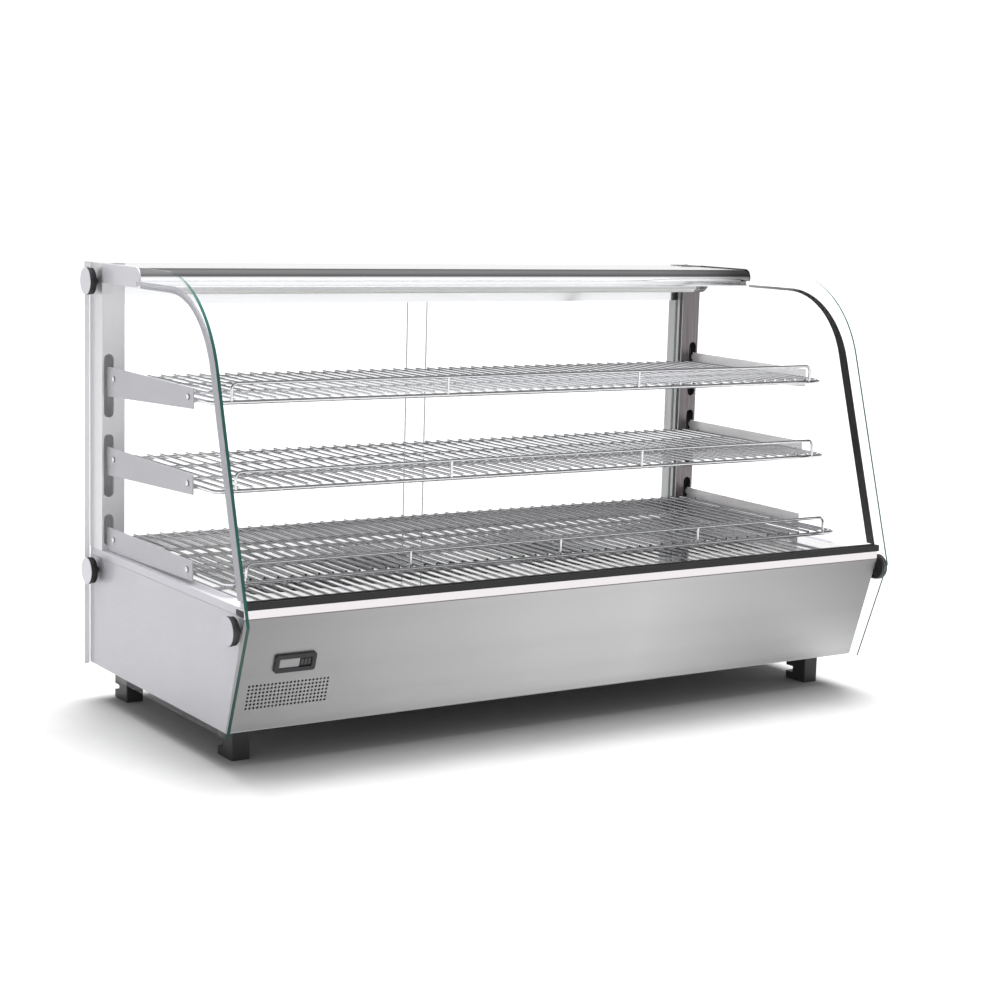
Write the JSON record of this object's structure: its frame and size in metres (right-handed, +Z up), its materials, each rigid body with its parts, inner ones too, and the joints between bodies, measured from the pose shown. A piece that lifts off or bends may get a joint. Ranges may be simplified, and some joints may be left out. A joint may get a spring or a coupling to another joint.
{
  "type": "hot food display case",
  "caption": "Counter-top heated display case with curved front glass, clear side panes, wire shelves, slotted hot deck and sliding rear doors.",
  "frame": {"origin": "on the counter, under the middle of the case's overall box", "axes": "+X along the long front towards the customer's right, +Y from the front glass to the rear doors, +Z up"},
  "size_m": [1.2, 0.568, 0.686],
  "materials": {
    "steel_painted_side": "satin",
    "steel_front": "brushed",
    "steel_galvanised": "dull",
    "steel_polished": "polished",
    "aluminium_canopy": "satin",
    "chrome_nose": "polished",
    "steel_post": "satin",
    "steel_bracket": "satin",
    "chrome_wire": "polished",
    "steel_fixing": "satin",
    "glass_side": "clear",
    "glass_front": "clear",
    "glass_door": "clear",
    "rubber_black": "matt",
    "aluminium_strip": "satin",
    "plastic_foot": "matt",
    "plastic_bezel": "matt",
    "plastic_window": "gloss",
    "plastic_key": "satin",
    "acrylic_handle": "clear",
    "heater_sheath": "oxidised",
    "lamp_cover": "frosted"
  },
  "bodies": {
    "cabinet": {"base_pan": "steel_galvanised", "bracket_bottom_left": "steel_bracket", "bracket_bottom_right": "steel_bracket", "bracket_middle_left": "steel_bracket", "bracket_middle_right": "steel_bracket", "bracket_rivets": "steel_fixing", "bracket_top_left": "steel_bracket", "bracket_top_right": "steel_bracket", "canopy": "aluminium_canopy", "canopy_end_caps": "aluminium_canopy", "canopy_nose": "chrome_nose", "controller_bezel": "plastic_bezel", "controller_body": "plastic_bezel", "controller_window": "plastic_window", "deck_plate": "steel_polished", "door_track_bottom": "aluminium_canopy", "door_track_top": "aluminium_canopy", "fan_frames": "plastic_bezel", "feet": "plastic_foot", "front_glass": "glass_front", "front_panel": "steel_front", "glass_caps": "steel_fixing", "glass_seal_left": "aluminium_strip", "glass_seal_right": "rubber_black", "glass_washers": "rubber_black", "heat_tray": "steel_galvanised", "heater_left": "heater_sheath", "heater_right": "heater_sheath", "lamp_diffuser": "lamp_cover", "lamp_housing": "aluminium_canopy", "post_left": "steel_post", "post_right": "steel_post", "power_inlet": "plastic_bezel", "rear_panel": "steel_galvanised", "side_glass_left": "glass_side", "side_glass_right": "glass_side", "side_panel_left": "steel_painted_side", "side_panel_right": "steel_painted_side", "sill_seal": "rubber_black", "switch_housing": "plastic_bezel", "temperature_probe": "heater_sheath", "terminal_block": "plastic_bezel"},
    "door_left": {"door_glass_left": "glass_door", "door_handle_left": "acrylic_handle", "door_glides_left": "plastic_bezel"},
    "door_right": {"door_glass_right": "glass_door", "door_handle_right": "acrylic_handle", "door_glides_right": "plastic_bezel"},
    "shelf_top_body": {"shelf_top": "chrome_wire", "guard_top": "chrome_wire"},
    "shelf_middle_body": {"shelf_middle": "chrome_wire", "guard_middle": "chrome_wire"},
    "shelf_bottom_body": {"shelf_bottom": "chrome_wire", "guard_bottom": "chrome_wire"},
    "rotor_left": {"fan_rotor_left": "plastic_bezel"},
    "rotor_right": {"fan_rotor_right": "plastic_bezel"},
    "rocker": {"power_rocker": "plastic_key"},
    "key_1": {"controller_key_1": "plastic_key"},
    "key_2": {"controller_key_2": "plastic_key"},
    "key_3": {"controller_key_3": "plastic_key"}
  },
  "joints": [
    {"name": "door_left_slide", "type": "slide", "parent": "cabinet", "child": "door_left", "axis": [1, 0, 0], "range_m": [0, 0.5]},
    {"name": "door_right_slide", "type": "slide", "parent": "cabinet", "child": "door_right", "axis": [1, 0, 0], "range_m": [-0.5, 0]},
    {"name": "shelf_top_lift", "type": "slide", "parent": "cabinet", "child": "shelf_top_body", "axis": [0, 0, 1], "range_m": [0, 0.02]},
    {"name": "shelf_middle_lift", "type": "slide", "parent": "cabinet", "child": "shelf_middle_body", "axis": [0, 0, 1], "range_m": [0, 0.02]},
    {"name": "shelf_bottom_lift", "type": "slide", "parent": "cabinet", "child": "shelf_bottom_body", "axis": [0, 0, 1], "range_m": [0, 0.02]},
    {"name": "fan_left_spin", "type": "hinge", "parent": "cabinet", "child": "rotor_left", "pos_m": [-0.303, 0.114, 0.157], "axis": [0, 0, 1], "continuous": true},
    {"name": "fan_right_spin", "type": "hinge", "parent": "cabinet", "child": "rotor_right", "pos_m": [0.19, 0.114, 0.157], "axis": [0, 0, 1], "continuous": true},
    {"name": "power_rocker_tilt", "type": "hinge", "parent": "cabinet", "child": "rocker", "pos_m": [0.42, 0.2775, 0.162], "axis": [1, 0, 0], "range_deg": [0, 20]},
    {"name": "key_1_press", "type": "slide", "parent": "cabinet", "child": "key_1", "axis": [0, 0.9546, 0.2979], "range_m": [0, 0.0008], "stiffness_N_per_m": 300},
    {"name": "key_2_press", "type": "slide", "parent": "cabinet", "child": "key_2", "axis": [0, 0.9546, 0.2979], "range_m": [0, 0.0008], "stiffness_N_per_m": 300},
    {"name": "key_3_press", "type": "slide", "parent": "cabinet", "child": "key_3", "axis": [0, 0.9546, 0.2979], "range_m": [0, 0.0008], "stiffness_N_per_m": 300}
  ]
}
